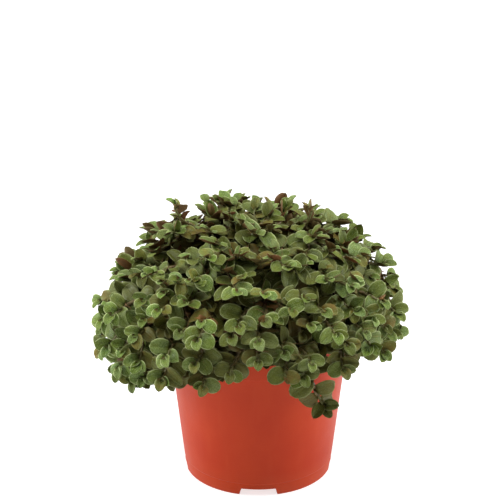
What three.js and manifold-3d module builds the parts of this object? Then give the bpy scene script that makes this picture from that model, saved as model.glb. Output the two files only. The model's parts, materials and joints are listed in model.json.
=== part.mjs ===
import * as THREE from 'three';
import { mergeVertices } from 'three/addons/utils/BufferGeometryUtils.js';
import Module from 'manifold-3d';

// Potted turtle vine: a creeping plant of many rooted shoots in a round plastic nursery pot.
// Millimetres, +Z up. The origin is the middle of the pot's foot ring, on the surface it stands on.
// The front of the plant faces -Y.

// The pot
const POT_HEIGHT = 98.5;
const RIM_RADIUS = 60;
const BAND_REACH = 2.7;
const WALL_DRAFT = 9.8;
const WALL = 1.2;
const BAND_HEIGHT = 12.7;
const BAND_TAPER = 0.8;
const LIP_ROUND = 0.4;
const STEP_HEIGHT = 8;
const STEP_DEPTH = 0.5;
const FLOOR_HEIGHT = 5;
const FLOOR = 1.6;
const FOOT_WIDTH = 2.2;
const POT_SIDES = 48;
const WALL_TOP_RADIUS = RIM_RADIUS - BAND_REACH;
const BASE_RADIUS = WALL_TOP_RADIUS - WALL_DRAFT;

// The notches in the foot ring and the drain holes in the floor
const NOTCHES = 4;
const NOTCH_FOOT_WIDTH = 25;
const NOTCH_TOP_WIDTH = 22;
const NOTCH_HEIGHT = 4.6;
const DRAIN_HOLES = 8;
const DRAIN_RADIUS = 4;
const DRAIN_INSET = 16.5;
const DRAIN_SIDES = 10;
const DRAIN_CIRCLE = BASE_RADIUS - DRAIN_INSET;

// The soil plug
const SOIL_DROP = 14;
const SOIL_CROWN = 1.5;
const SOIL_SIDES = 36;
const CLEARANCE = 0.3;

// The mound that the shoot tips reach, its widest ring a little above the pot's rim
const MOUND_RADIUS = 102;
const MOUND_LIFT = 6.5;
const MOUND_RISE = 79;
const MOUND_FALL = 86;
const MOUND_LEAN = -3;

// How far round from its top the mound hangs, in degrees, and how that changes round the pot
const LOW_MEAN = 109;
const LOW_RIGHT_OVER_LEFT = -8.5;
const LOW_BACK_OVER_FRONT = 12;
const LOW_SIDES_OVER_ENDS = 2.5;

// The stems
const SHOOTS = 45;
const ROOT_MARGIN = 10;
const ROOT_DEPTH = 7;
const STEM_RADIUS = 1;
const STEM_SIDES = 4;
const STEM_STEPS = 7;
const STEM_BEND = 0.42;
const RIM_CLEARANCE = 4;
const AZIMUTH_PLAY = 0.12;
const ROOT_PLAY = 0.1;
const MOST_NUDGES = 40;

// The leaves: how long, how far apart, and how they open from the bud at a stem's tip
const LEAVES = 7;
const LEAF_LENGTH = 17;
const TIP_LEAF_LENGTH = 9;
const LEAF_LENGTH_PLAY = 0.08;
const LEAF_WIDTH_SHARE = 0.78;
const LEAF_THICKNESS = 1.3;
const LEAF_CUP = 0.28;
const LEAF_SPACING = 7.2;
const TIP_SPACING_SHARE = 0.55;
const BUD_LENGTH = 1.5;
const BUD_LEAVES = 4;
const TIP_LEAF_ANGLE = 68;
const OPEN_LEAF_ANGLE = 24;
const LEAF_ANGLE_PLAY = 8;
const TIP_LEAF_FACING = 0.3;
const OPEN_LEAF_FACING = 0.75;
const LEAF_ROLL_PLAY = 0.35;
const LEAF_TURNS = [0, 0.5, -0.5, 1, -1];
const LEAF_SHARES = [1, 0.8];

// The shoot that trails over the pot's wall at the front
const TRAILING_AZIMUTH = THREE.MathUtils.degToRad(-52);
const TRAILING_ROOT_MARGIN = 7;
const TRAILING_REACH = 8;
const TRAILING_BULGE = 6;
const TRAILING_DROP = 40.5;
const TRAILING_RISE = 40;

const GOLDEN_ANGLE = Math.PI * (3 - Math.sqrt(5));
const UP = new THREE.Vector3(0, 0, 1);
const FINEST_DETAIL = 0.05;

const wasm = await Module();
wasm.setup();

// ---------------------------------------------------------------- helpers

function toSolid(geometry) {
  const bare = geometry.clone();
  bare.deleteAttribute('normal');
  bare.deleteAttribute('uv');
  const merged = mergeVertices(bare, 1e-4);
  const index = merged.index.array;
  const triangles = [];
  for (let k = 0; k < index.length; k += 3) {
    const [a, b, c] = index.slice(k, k + 3);
    if (a !== b && b !== c && c !== a) {
      triangles.push(a, b, c);
    }
  }
  return new wasm.Manifold(new wasm.Mesh({
    numProp: 3,
    vertProperties: Float32Array.from(merged.attributes.position.array),
    triVerts: Uint32Array.from(triangles),
  }));
}

function toGeometry(solid) {
  const mesh = solid.simplify(FINEST_DETAIL).getMesh();
  const geometry = new THREE.BufferGeometry();
  geometry.setAttribute('position', new THREE.BufferAttribute(mesh.vertProperties, 3));
  geometry.setIndex(new THREE.BufferAttribute(mesh.triVerts, 1));
  geometry.computeVertexNormals();
  return geometry;
}

// A number from 0 to 1 that is always the same for the same pair.
function chance(index, salt) {
  const x = Math.sin(index * 12.9898 + salt * 78.233) * 43758.5453;
  return x - Math.floor(x);
}

function spread(index, salt) {
  return 2 * chance(index, salt) - 1;
}

// A solid of revolution about Z from points (radius, height), from the axis round to the axis.
function turned(profile, sides) {
  const points = profile.map(([radius, height]) => new THREE.Vector2(radius, height));
  return toSolid(new THREE.LatheGeometry(points, sides).rotateX(Math.PI / 2));
}

// ---------------------------------------------------------------- pot and soil

const BAND_START = POT_HEIGHT - BAND_HEIGHT;
const FLOOR_TOP = FLOOR_HEIGHT + FLOOR;
const SOIL_TOP = POT_HEIGHT - SOIL_DROP;
const MOUND_HEIGHT = POT_HEIGHT + MOUND_LIFT;

function wallRadius(height) {
  return THREE.MathUtils.mapLinear(height, 0, BAND_START, BASE_RADIUS, WALL_TOP_RADIUS);
}

function innerRadius(height) {
  return wallRadius(height) - WALL - STEP_DEPTH * (height < STEP_HEIGHT ? 1 : 0);
}

function makePot() {
  const bandFoot = RIM_RADIUS - BAND_TAPER;
  let pot = turned([
    [0, FLOOR_HEIGHT],
    [BASE_RADIUS - FOOT_WIDTH, FLOOR_HEIGHT],
    [BASE_RADIUS - FOOT_WIDTH, 0],
    [BASE_RADIUS - LIP_ROUND, 0],
    [BASE_RADIUS, LIP_ROUND],
    [wallRadius(STEP_HEIGHT) - STEP_DEPTH, STEP_HEIGHT],
    [wallRadius(STEP_HEIGHT), STEP_HEIGHT + STEP_DEPTH],
    [WALL_TOP_RADIUS, BAND_START],
    [bandFoot, BAND_START],
    [RIM_RADIUS, POT_HEIGHT - LIP_ROUND],
    [RIM_RADIUS - LIP_ROUND, POT_HEIGHT],
    [RIM_RADIUS - WALL, POT_HEIGHT],
    [bandFoot - WALL, BAND_START + WALL],
    [WALL_TOP_RADIUS - WALL, BAND_START + WALL],
    [innerRadius(STEP_HEIGHT), STEP_HEIGHT],
    [innerRadius(FLOOR_TOP), FLOOR_TOP],
    [0, FLOOR_TOP],
  ], POT_SIDES);
  const notch = new THREE.Shape()
    .moveTo(-NOTCH_FOOT_WIDTH / 2, -1)
    .lineTo(NOTCH_FOOT_WIDTH / 2, -1)
    .lineTo(NOTCH_FOOT_WIDTH / 2, 0)
    .lineTo(NOTCH_TOP_WIDTH / 2, NOTCH_HEIGHT)
    .lineTo(-NOTCH_TOP_WIDTH / 2, NOTCH_HEIGHT)
    .lineTo(-NOTCH_FOOT_WIDTH / 2, 0);
  for (let k = 0; k < NOTCHES; k += 1) {
    const cutter = new THREE.ExtrudeGeometry(notch, { depth: BASE_RADIUS, bevelEnabled: false })
      .rotateX(Math.PI / 2)
      .translate(0, -BASE_RADIUS / 2, 0)
      .rotateZ((2 * Math.PI * k) / NOTCHES);
    pot = pot.subtract(toSolid(cutter));
  }
  for (let k = 0; k < DRAIN_HOLES; k += 1) {
    const cutter = new THREE.CylinderGeometry(DRAIN_RADIUS, DRAIN_RADIUS, 4 * FLOOR, DRAIN_SIDES)
      .rotateX(Math.PI / 2)
      .translate(DRAIN_CIRCLE, 0, FLOOR_HEIGHT)
      .rotateZ((2 * Math.PI * (k + 0.5)) / DRAIN_HOLES);
    pot = pot.subtract(toSolid(cutter));
  }
  return pot;
}

// The hole in the soil that a stem stands in.
function rootHole(curve) {
  return stemSolid(curve, STEM_RADIUS + 2 * CLEARANCE).translate(0, 0, -CLEARANCE);
}

function makeSoil() {
  return turned([
    [0, FLOOR_TOP + CLEARANCE],
    [innerRadius(FLOOR_TOP) - CLEARANCE, FLOOR_TOP + CLEARANCE],
    [innerRadius(STEP_HEIGHT) - STEP_DEPTH - CLEARANCE, STEP_HEIGHT],
    [innerRadius(SOIL_TOP) - CLEARANCE, SOIL_TOP],
    [innerRadius(SOIL_TOP) / 2, SOIL_TOP + SOIL_CROWN / 2],
    [0, SOIL_TOP + SOIL_CROWN],
  ], SOIL_SIDES);
}

// ---------------------------------------------------------------- the way a shoot grows

// How far round from the top, in radians, the mound reaches at an azimuth: it hangs lowest at the left
// and the back, and ends just past its widest ring at the front.
function lowestPolar(azimuth) {
  const sideways = LOW_RIGHT_OVER_LEFT * Math.cos(azimuth) + LOW_SIDES_OVER_ENDS * Math.cos(2 * azimuth);
  return THREE.MathUtils.degToRad(LOW_MEAN + sideways + LOW_BACK_OVER_FRONT * Math.sin(azimuth));
}

function moundPoint(polar, azimuth) {
  const height = polar < Math.PI / 2 ? MOUND_RISE : MOUND_FALL;
  return new THREE.Vector3(
    MOUND_LEAN + MOUND_RADIUS * Math.sin(polar) * Math.cos(azimuth),
    MOUND_RADIUS * Math.sin(polar) * Math.sin(azimuth),
    MOUND_HEIGHT + height * Math.cos(polar),
  );
}

function moundNormal(point) {
  const height = point.z > MOUND_HEIGHT ? MOUND_RISE : MOUND_FALL;
  return new THREE.Vector3(
    (point.x - MOUND_LEAN) / MOUND_RADIUS ** 2,
    point.y / MOUND_RADIUS ** 2,
    (point.z - MOUND_HEIGHT) / height ** 2,
  ).normalize();
}

function clearsRim(curve) {
  const nearRim = (point) => Math.abs(Math.hypot(point.x, point.y) - RIM_RADIUS) < RIM_CLEARANCE;
  const low = (point) => point.z < POT_HEIGHT + RIM_CLEARANCE;
  return !curve.getPoints(60).some((point) => nearRim(point) && low(point));
}

// A stem rises straight up from its root, higher if it has to arch over the rim, and ends at its tip.
function archedPath(root, beforeTip, tip, rise) {
  for (let lift = rise; ; lift += 2) {
    const curve = new THREE.CubicBezierCurve3(root, root.clone().addScaledVector(UP, lift), beforeTip, tip);
    if (clearsRim(curve)) {
      return curve;
    }
  }
}

function soilPoint(margin, share, azimuth) {
  const radius = (innerRadius(SOIL_TOP) - margin) * share;
  return new THREE.Vector3(radius * Math.cos(azimuth), radius * Math.sin(azimuth), SOIL_TOP - ROOT_DEPTH);
}

// The tips stand evenly over the mound, and the nearer the top a tip is, the nearer the middle it roots.
function moundPath(index, nudge) {
  const share = (index + 0.5) / SHOOTS;
  const azimuth = index * GOLDEN_ANGLE + AZIMUTH_PLAY * spread(index, 2 + nudge);
  const polar = Math.acos(1 - share * (1 - Math.cos(lowestPolar(azimuth))));
  const tip = moundPoint(polar, azimuth);
  const down = moundPoint(polar + 0.02, azimuth).sub(moundPoint(polar - 0.02, azimuth)).normalize();
  const hang = Math.min(1, polar / (Math.PI / 2));
  const way = down.multiplyScalar(0.35 + 0.55 * hang)
    .addScaledVector(moundNormal(tip), 0.9 - 0.45 * hang)
    .normalize();
  const rootAzimuth = azimuth + ROOT_PLAY * nudge * spread(index, 3 + nudge);
  const root = soilPoint(ROOT_MARGIN, Math.sqrt(share), rootAzimuth);
  const handle = STEM_BEND * tip.distanceTo(root);
  return archedPath(root, tip.clone().addScaledVector(way, -handle), tip, handle + ROOT_DEPTH);
}

function trailingPath(nudge) {
  const azimuth = TRAILING_AZIMUTH + AZIMUTH_PLAY * nudge * spread(SHOOTS, nudge);
  const outside = (reach, height) => new THREE.Vector3(
    (RIM_RADIUS + reach) * Math.cos(azimuth),
    (RIM_RADIUS + reach) * Math.sin(azimuth),
    height,
  );
  const root = soilPoint(TRAILING_ROOT_MARGIN, 1, azimuth);
  const shoulder = outside(TRAILING_REACH + TRAILING_BULGE, POT_HEIGHT + TRAILING_BULGE);
  return archedPath(root, shoulder, outside(TRAILING_REACH, POT_HEIGHT - TRAILING_DROP), TRAILING_RISE);
}

// ---------------------------------------------------------------- stems and leaves

function stemSolid(curve, radius) {
  const corners = Array.from({ length: STEM_SIDES }, (_, k) => {
    const angle = (2 * Math.PI * k) / STEM_SIDES;
    return new THREE.Vector2(radius * Math.cos(angle), radius * Math.sin(angle));
  });
  const section = new THREE.Shape(corners);
  return toSolid(new THREE.ExtrudeGeometry(section, { extrudePath: curve, steps: STEM_STEPS }));
}

// The point on a stem's straight stretches, a share of its length from the root.
function stemPoint(curve, share) {
  const points = curve.getSpacedPoints(STEM_STEPS);
  const stretch = Math.min(STEM_STEPS - 1, Math.floor(share * STEM_STEPS));
  return points[stretch].clone().lerp(points[stretch + 1], share * STEM_STEPS - stretch);
}

// A cupped, pointed blade: its base is at the origin, it runs along +Y, and its upper face looks to +Z.
function bladeSolid(length, pose) {
  const blade = new THREE.SphereGeometry(1, 4, 3);
  const position = blade.attributes.position;
  const halfWidth = (length * LEAF_WIDTH_SHARE) / 2;
  for (let k = 0; k < position.count; k += 1) {
    const along = (1 + position.getY(k)) / 2;
    const outline = Math.sin(Math.PI * along ** 0.85);
    const side = Math.sign(Math.round(position.getX(k) * 100));
    const face = Math.sign(Math.round(position.getZ(k) * 100));
    const cup = LEAF_CUP * Math.abs(side) * halfWidth * outline;
    position.setXYZ(k, side * halfWidth * outline, along * length, cup + (face * LEAF_THICKNESS) / 2);
  }
  return toSolid(blade.applyMatrix4(pose));
}

// Where a leaf stands, counted from the tip: in two ranks along the stem, opening wider down it.
function leafPose(shoot, fromTip, turn) {
  const opening = Math.min(1, fromTip / BUD_LEAVES);
  const distance = BUD_LENGTH + fromTip * LEAF_SPACING * THREE.MathUtils.lerp(TIP_SPACING_SHARE, 1, opening);
  const share = Math.max(0, 1 - distance / shoot.curve.getLength());
  const origin = stemPoint(shoot.curve, share);
  const tangent = shoot.curve.getTangentAt(share);
  const outward = moundNormal(origin);
  const across = new THREE.Vector3().crossVectors(tangent, outward).normalize();
  const open = new THREE.Vector3().crossVectors(across, tangent);
  const roll = turn + LEAF_ROLL_PLAY * spread(shoot.index, 60 + fromTip);
  across.applyAxisAngle(tangent, roll).multiplyScalar(fromTip % 2 ? 1 : -1);
  open.applyAxisAngle(tangent, roll);
  const degrees = THREE.MathUtils.lerp(TIP_LEAF_ANGLE, OPEN_LEAF_ANGLE, opening)
    + LEAF_ANGLE_PLAY * spread(shoot.index, 40 + fromTip);
  const angle = THREE.MathUtils.degToRad(degrees);
  const facing = THREE.MathUtils.lerp(TIP_LEAF_FACING, OPEN_LEAF_FACING, opening);
  const along = across.clone().multiplyScalar(Math.cos(angle)).addScaledVector(tangent, Math.sin(angle));
  const face = tangent.clone().multiplyScalar(Math.cos(angle)).addScaledVector(across, -Math.sin(angle));
  face.multiplyScalar(1 - facing).addScaledVector(open, facing);
  face.addScaledVector(along, -face.dot(along)).normalize();
  const basis = new THREE.Matrix4().makeBasis(new THREE.Vector3().crossVectors(along, face), along, face);
  return basis.setPosition(origin);
}

function leafLength(shoot, fromTip) {
  const full = THREE.MathUtils.lerp(TIP_LEAF_LENGTH, LEAF_LENGTH, Math.min(1, fromTip / BUD_LEAVES));
  return full * (1 + LEAF_LENGTH_PLAY * spread(shoot.index, 20 + fromTip));
}

// ---------------------------------------------------------------- putting the shoots together

function boxesMeet(a, b) {
  const first = a.boundingBox();
  const second = b.boundingBox();
  return [0, 1, 2].every((axis) => (
    first.min[axis] - CLEARANCE < second.max[axis] && second.min[axis] - CLEARANCE < first.max[axis]
  ));
}

function clearOf(solid, others) {
  return others.every((other) => !boxesMeet(solid, other) || solid.minGap(other, CLEARANCE) >= CLEARANCE);
}

// Each stem takes the first way up that is clear of the pot and of the stems before it.
function growStems(fixed) {
  const shoots = [];
  const grow = (name, index, pathFor) => {
    for (let nudge = 0; nudge < MOST_NUDGES; nudge += 1) {
      const curve = pathFor(nudge);
      const stem = stemSolid(curve, STEM_RADIUS);
      if (clearOf(stem, [...fixed, ...shoots.map((shoot) => shoot.stem)])) {
        shoots.push({ name, index, curve, stem, leaves: [] });
        return;
      }
    }
    throw new Error(`there is no room for ${name}`);
  };
  grow('shoot_trailing', SHOOTS, trailingPath);
  for (let index = 0; index < SHOOTS; index += 1) {
    const name = `shoot_${String(index + 1).padStart(2, '0')}`;
    grow(name, index, (nudge) => moundPath(index, nudge));
  }
  return shoots;
}

// Leaves open from the tips down, one on each shoot in turn, wherever there is room for them.
function growLeaves(shoots, fixed) {
  const tries = LEAF_SHARES.flatMap((share) => LEAF_TURNS.map((turn) => [share, turn]));
  for (let fromTip = 0; fromTip < LEAVES; fromTip += 1) {
    for (const shoot of shoots) {
      const others = shoots.filter((other) => other !== shoot);
      const solids = others.flatMap((other) => [other.stem, ...other.leaves]);
      for (const [share, turn] of tries) {
        const leaf = bladeSolid(share * leafLength(shoot, fromTip), leafPose(shoot, fromTip, turn));
        if (clearOf(leaf, [...fixed, ...solids])) {
          shoot.leaves.push(leaf);
          break;
        }
      }
    }
  }
}

// ---------------------------------------------------------------- the plant in its pot

const PLASTIC = { color: 0xb8452a, roughness: 0.42, metalness: 0 };
const EARTH = { color: 0x2c2118, roughness: 0.95, metalness: 0 };

const plant = new THREE.Group();

function addPart(name, solid, look) {
  const mesh = new THREE.Mesh(toGeometry(solid), new THREE.MeshStandardMaterial(look));
  mesh.name = name;
  plant.add(mesh);
}

function leafLook(index) {
  const color = new THREE.Color().setHSL(0.22 + 0.03 * chance(index, 5), 0.24, 0.4 + 0.08 * chance(index, 6));
  return { color, roughness: 0.55, metalness: 0 };
}

const pot = makePot();
const shoots = growStems([pot]);
growLeaves(shoots, [pot]);

let soil = makeSoil();
for (const shoot of shoots) {
  soil = soil.subtract(rootHole(shoot.curve));
}

addPart('pot', pot, PLASTIC);
addPart('soil', soil, EARTH);
for (const shoot of shoots) {
  const solid = shoot.leaves.reduce((whole, leaf) => whole.add(leaf), shoot.stem);
  addPart(shoot.name, solid, leafLook(shoot.index));
}

export default plant;
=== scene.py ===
"""A potted turtle vine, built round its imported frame. Metres, +Z up, the front faces -Y."""

import json
import math

import bmesh
import bpy
import numpy as np
from mathutils import Matrix, Vector

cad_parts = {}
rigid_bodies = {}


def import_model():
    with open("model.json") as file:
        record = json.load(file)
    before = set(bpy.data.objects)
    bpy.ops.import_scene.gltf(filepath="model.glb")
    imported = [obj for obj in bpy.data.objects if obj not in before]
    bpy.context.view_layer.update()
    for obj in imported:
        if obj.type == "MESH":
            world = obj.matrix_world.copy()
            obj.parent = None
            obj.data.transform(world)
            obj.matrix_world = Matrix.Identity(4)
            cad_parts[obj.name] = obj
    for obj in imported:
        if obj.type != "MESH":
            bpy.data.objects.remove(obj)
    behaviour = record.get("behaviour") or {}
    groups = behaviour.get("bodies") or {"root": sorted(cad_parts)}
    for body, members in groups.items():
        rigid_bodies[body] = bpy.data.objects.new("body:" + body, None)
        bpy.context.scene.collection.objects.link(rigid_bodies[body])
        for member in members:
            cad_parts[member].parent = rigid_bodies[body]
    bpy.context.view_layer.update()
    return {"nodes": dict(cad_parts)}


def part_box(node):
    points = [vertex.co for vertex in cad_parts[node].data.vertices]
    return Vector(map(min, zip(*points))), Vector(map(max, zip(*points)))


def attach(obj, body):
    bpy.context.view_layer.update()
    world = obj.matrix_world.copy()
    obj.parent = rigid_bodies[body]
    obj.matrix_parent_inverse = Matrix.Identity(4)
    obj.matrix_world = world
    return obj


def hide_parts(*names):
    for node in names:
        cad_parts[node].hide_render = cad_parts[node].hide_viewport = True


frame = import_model()

# ------------------------------------------------------------------ sizes

# The pot, from its node's box, and the moulded details that the box doesn't give
POT_LOW, POT_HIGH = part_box("pot")
POT_HEIGHT = POT_HIGH.z
RIM_RADIUS = (POT_HIGH.x - POT_LOW.x) / 2
BAND_REACH = 0.0027
BASE_RADIUS = 0.0475
WALL = 0.0012
BAND_HEIGHT = 0.0127
BAND_TAPER = 0.0008
STEP_HEIGHT = 0.008
STEP_DEPTH = 0.0005
FLOOR_HEIGHT = 0.005
FLOOR = 0.0016
FOOT_WIDTH = 0.0022
NOTCHES = 4
NOTCH_FOOT_WIDTH = 0.025
NOTCH_TOP_WIDTH = 0.022
NOTCH_HEIGHT = 0.0046
DRAIN_HOLES = 8
DRAIN_RADIUS = 0.004
DRAIN_CIRCLE = 0.031
EDGE_ROUND = 0.0004
POT_COLUMNS = 360

# The raised ring under the pot's floor
RING_RADIUS = 0.0125
RING_WIDTH = 0.0015
RING_SLOPE = 0.0005
RING_DEPTH = 0.0006

# The soil, from its node's box
SOIL_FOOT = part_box("soil")[0].z
SOIL_DROP = 0.014
SOIL_TOP = POT_HEIGHT - SOIL_DROP
SOIL_CROWN = 0.0015
SOIL_RINGS = 22
SOIL_COLUMNS = 72
SOIL_EDGE_IN = 0.0006
SOIL_EDGE_DOWN = 0.003
CLEARANCE = 0.0003
CRUMB_DENSITY = 1.6e5

# The mound that the shoot tips reach, as the frame's shoots follow it
MOUND_RADIUS = 0.102
MOUND_HEIGHT = POT_HEIGHT + 0.0065
MOUND_RISE = 0.079
MOUND_FALL = 0.086
MOUND_LEAN = -0.003
LOW_MEAN = 109
LOW_RIGHT_OVER_LEFT = -8.5
LOW_BACK_OVER_FRONT = 12
LOW_SIDES_OVER_ENDS = 2.5

# The frame's stems
SHOOTS = 45
ROOT_MARGIN = 0.010
ROOT_DEPTH = 0.007
STEM_BEND = 0.42
RIM_CLEARANCE = 0.004
RIM_STEP = 0.002
AZIMUTH_PLAY = 0.12
ROOT_PLAY = 0.1
MOST_NUDGES = 40
PATH_STEPS = 60
TRAILING_AZIMUTH = math.radians(-52)
TRAILING_ROOT_MARGIN = 0.007
TRAILING_REACH = 0.008
TRAILING_BULGE = 0.006
TRAILING_DROP = 0.0405
TRAILING_RISE = 0.040

# How far a stem heads down and out where it meets the mound: at the top, and at the sides
WAY_DOWN = (0.35, 0.90)
WAY_OUT = (0.90, 0.45)
WAY_PROBE = 0.02

# Where the trailing shoot swings across the wall: the handle before its tip, and its tip
TRAILING_BEND = [Vector((0.020, -0.073, 0.101)), Vector((0.041, -0.055, 0.067))]

# The side shoots that fill the mound, and the shaded ones under them
SIDE_TIPS = 190
SIDE_TIP_GAP = 0.012
SHADE_TIPS = 130
SHADE_DEPTH = 0.013
INNER_TIPS = 80
INNER_DEPTH = 0.030
DEPTH_PLAY = 0.006
SIDE_START = 0.016
SIDE_START_GAP = 1.1
SIDE_START_MOST = 0.75
SIDE_RISE = 0.35
SIDE_HANG = 0.42
SIDE_LIFT = 1.3
SIDE_AZIMUTH_PLAY = 0.1
SIDE_LOWER = 0.03
SIDE_TURN_PLAY = 0.5
SIDE_TURN_WIDTH = 0.5
SIDE_TINT_PLAY = 0.25

# Side shoots that stand a little proud of the mound
STRAY_TIPS = [
    (-0.051, -0.012, 0.180), (0.032, -0.010, 0.1765), (-0.048, -0.056, 0.150), (-0.036, -0.060, 0.151),
    (-0.056, -0.050, 0.146), (0.087, -0.012, 0.098), (0.086, -0.006, 0.114),
]
STRAY_LIFT = 0.4
STRAY_RISE = 0.4
STRAY_HANG = 0.3
STRAY_TINT = 0.6
STRAY_LEAFY = 0.03

# How far the leafy tips settle into the mound, and how far the whole head leans to its left
SETTLE = 0.0078
CROWN_SETTLE = 0.0105
SHOULDER_SETTLE = 0.006
HEAD_LEAN = -0.0030

# How much the highest tips lie down along the mound, and how far round they are turned
LAID_SHARE = 0.85
LAID_TURN = 0.9

# How far the shoots' faces are drawn to the front, where the light came from
LIGHT_PULL = 0.62

# Where these take hold: each pair is the value at which one starts and the value at which it is full
CROWN_NORMAL = (0.80, 0.95)
SHOULDER_LEFT = (0.050, 0.080)
SHOULDER_HEIGHT = (0.115, 0.135)
LAID_HEIGHT = (0.135, 0.170)
FRONT_NORMAL = (0.35, 0.0)
FLANK_NORMAL = (0.85, 0.40)
SKIRT_HEIGHT = (0.100, 0.070)
# Painted shade low on the mound's front, by seen height and by distance across
FRONT_SHADE_HEIGHT = (0.108, 0.078)
FRONT_SHADE_WIDTH = (0.075, 0.0)
LIT_HEIGHT = (0.115, 0.150)

# Where the front of the mound has blushed and where it has withered: across, seen height and reach
BLUSHED = [
    (-0.062, 0.151, 0.015), (-0.052, 0.174, 0.010), (-0.085, 0.134, 0.009), (-0.028, 0.180, 0.014),
    (0.030, 0.178, 0.010), (0.062, 0.156, 0.010), (0.010, 0.172, 0.007),
]
WITHERED = [
    (0.080, 0.123, 0.010), (-0.046, 0.109, 0.007), (-0.034, 0.101, 0.007), (0.002, 0.106, 0.007),
    (-0.012, 0.094, 0.006),
]
FRONT_REACH = 0.035

# How much lower a place looks for each step nearer to the front, from a little above
FRONT_DROP = 0.38

# The leaves
LEAF_LENGTH = 0.0134
BUD_LEAF_LENGTH = 0.0080
LEAF_GROWTH = 0.0016
DRY_LENGTH = 0.6
STRAY_LEAF = LEAF_LENGTH * 0.68
SHADED_LEAF = LEAF_LENGTH * 1.1
INNER_LEAF = LEAF_LENGTH * 1.15
TRAILING_LEAF = LEAF_LENGTH * 1.18
TRAILING_SPACING = 0.0070
TRAILING_LEAFY = 0.07
TRAILING_FACING = 0.40
LEAF_SPACING = 0.0048
BUD_SPACING = 0.0013
SPACING_GROWTH = 0.0007
SPACING_LEAST = 0.85
SPACING_PLAY = 0.3
FIRST_LEAF = 0.0008
LEAF_ROWS = 6
LEAF_COLUMNS = 4
ROW_CROWDING = 1.35

# Leaves that stand up and show their undersides: how often above a height, and how often where it has blushed
RAISED_ABOVE = 0.145
RAISED_OFTEN = 0.10
BLUSHED_OFTEN = 0.85

# How far the youngest leaves of a shoot turn from its heading to face out of the mound
TIP_OUT = (0.8, 0.6, 0.4, 0.2)

# How a leaf stands on its stem: its angle to the stem's side while young and when open, and its play
YOUNG_ANGLE = 50
OPEN_ANGLE = 18
ANGLE_PLAY = 11
ROLL_PLAY = 26
DROOP_PLAY = 9
RAISED_ANGLE = 30
YOUNG_FACING = 0.40
FACING_PLAY = 0.1
OPEN_FACING = 0.72
OPEN_AFTER = 4.5

# How leaves of one shoot differ in length
LENGTH_LEAST = 0.86
LENGTH_PLAY = 0.28

# How often a leaf has dried: where the front has withered, anywhere, deep in the mound and low on it
WITHERED_OFTEN = 0.75
DRY_ANYWHERE = 0.004
DRY_DEEP = 0.55
DRY_LOW = 0.10
DRY_AFTER = 5
LOW_AFTER = 2

# How much a leaf has aged: deep in the mound, low on it, and here and there
AGE_DEEP = 2.2
AGE_LOW = 0.9
AGED_OFTEN = 0.10
AGED_LEAST = 0.35
AGED_PLAY = 0.4

# How light a leaf's green is, beside its shoot's own, and how much painted shade darkens it deeper in the
# mound
MAIN_TINT = 0.35
MAIN_TINT_PLAY = 0.4
TRAILING_TINT = 0.20
TINT_PLAY = 0.34
DEEP_SHADE_TINT = 0.5
LIGHTER_OFTEN = 0.14
LIGHTER_BY = 0.35

# How much the leaves above have shaded a leaf: deep in the mound, low on it, and low on its front
SHADE_DEEP = 3.0
SHADE_PLAY = 0.45
SHADE_LOW = 0.35
SHADE_SHELTERED = 0.65

# How much a leaf has blushed: in the shade and in the light, while young, and its play
BLUSH_SHADED = 0.25
BLUSH_LIT = 0.75
BLUSH_YOUNG = 0.45
BLUSH_STEADY = 0.6
BLUSH_PLAY = 0.4

# The rootlets: from which joint on and how often, with more of them low on the mound, and how they hang
ROOTED_AFTER = 5
ROOTED_SOONER = 2
ROOTED_OFTEN = 0.45
ROOTED_MORE = 0.4
ROOTLET_HANG = 1.2
ROOTED_BELOW = 0.115
ROOTLET_LENGTH = 0.006
ROOTLET_PLAY = 0.007

# The stems: how thick, and how their joints swell
MAIN_STEM = 0.0013
SIDE_STEM = 0.0009
STEM_SIDES = 6
STEM_STEP = 0.0016
JOINT_OFFSET = 0.0012
JOINT_REACH = 0.0018
JOINT_SWELL = 0.38
YOUNG_LENGTH = 0.022
TAPER_LENGTH = 0.030
TIP_TAPER = 0.55

# How far a shoot's last stretch curls out of the mound, over what length
CURL_REACH = 0.0030
CURL_LENGTH = 0.009
CURL_TURN = 3.2
LEAFY_LENGTH = 0.060
LEAFY_MOST = 0.85
HEADING_PROBE = 0.01

# Corners closer than this are merged, in pot and soil and in a leaf one unit long
MERGE = 1e-6
LEAF_MERGE = 1e-5

# What a point of a shoot carries, and the leaf shapes that aren't drawn by chance
STEM, LEAF, ROOTLET = range(3)
FUNNEL, DRIED = 4, 5

GOLDEN_ANGLE = math.pi * (3 - math.sqrt(5))
UP = Vector((0, 0, 1))
FRONT = Vector((0, -1, 0))


# ------------------------------------------------------------------ helpers

def chance(index, salt):
    """A number from 0 to 1 that is always the same for the same pair."""
    x = math.sin(index * 12.9898 + salt * 78.233) * 43758.5453
    return x - math.floor(x)


def spread(index, salt):
    return 2 * chance(index, salt) - 1


def mix(a, b, share):
    return a + (b - a) * share


def clamp(value):
    return min(1.0, max(0.0, value))


def fade(value, start, full):
    """0 at one value and before it, 1 at the other and beyond."""
    return clamp((value - start) / (full - start))


def link(name, data, *materials):
    obj = bpy.data.objects.new(name, data)
    bpy.context.scene.collection.objects.link(obj)
    for material in materials:
        data.materials.append(material)
    return obj


def keep(obj, *nodes, slot=None):
    """The piece rides on the plant's one body, and stands for the frame's nodes."""
    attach(obj, "root")
    if nodes:
        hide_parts(*nodes)
    return obj


def add(tree, kind, settings=None, **inputs):
    """A node with its settings, and its inputs given as values or as other nodes' outputs."""
    node = tree.nodes.new(kind)
    for name, value in (settings or {}).items():
        setattr(node, name, value)
    for name, value in inputs.items():
        key = int(name[1:]) if name[1:].isdigit() else name.replace("_", " ")
        socket = node.inputs[key]
        if isinstance(value, bpy.types.NodeSocket):
            tree.links.new(value, socket)
        else:
            socket.default_value = value
    return node


def closed_mesh(name, corners, faces, merge=0.0):
    """A mesh with its faces pointing outwards, after corners closer than `merge` have become one."""
    mesh = bpy.data.meshes.new(name)
    mesh.from_pydata(corners, [], faces)
    return closed(mesh, merge)


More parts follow.
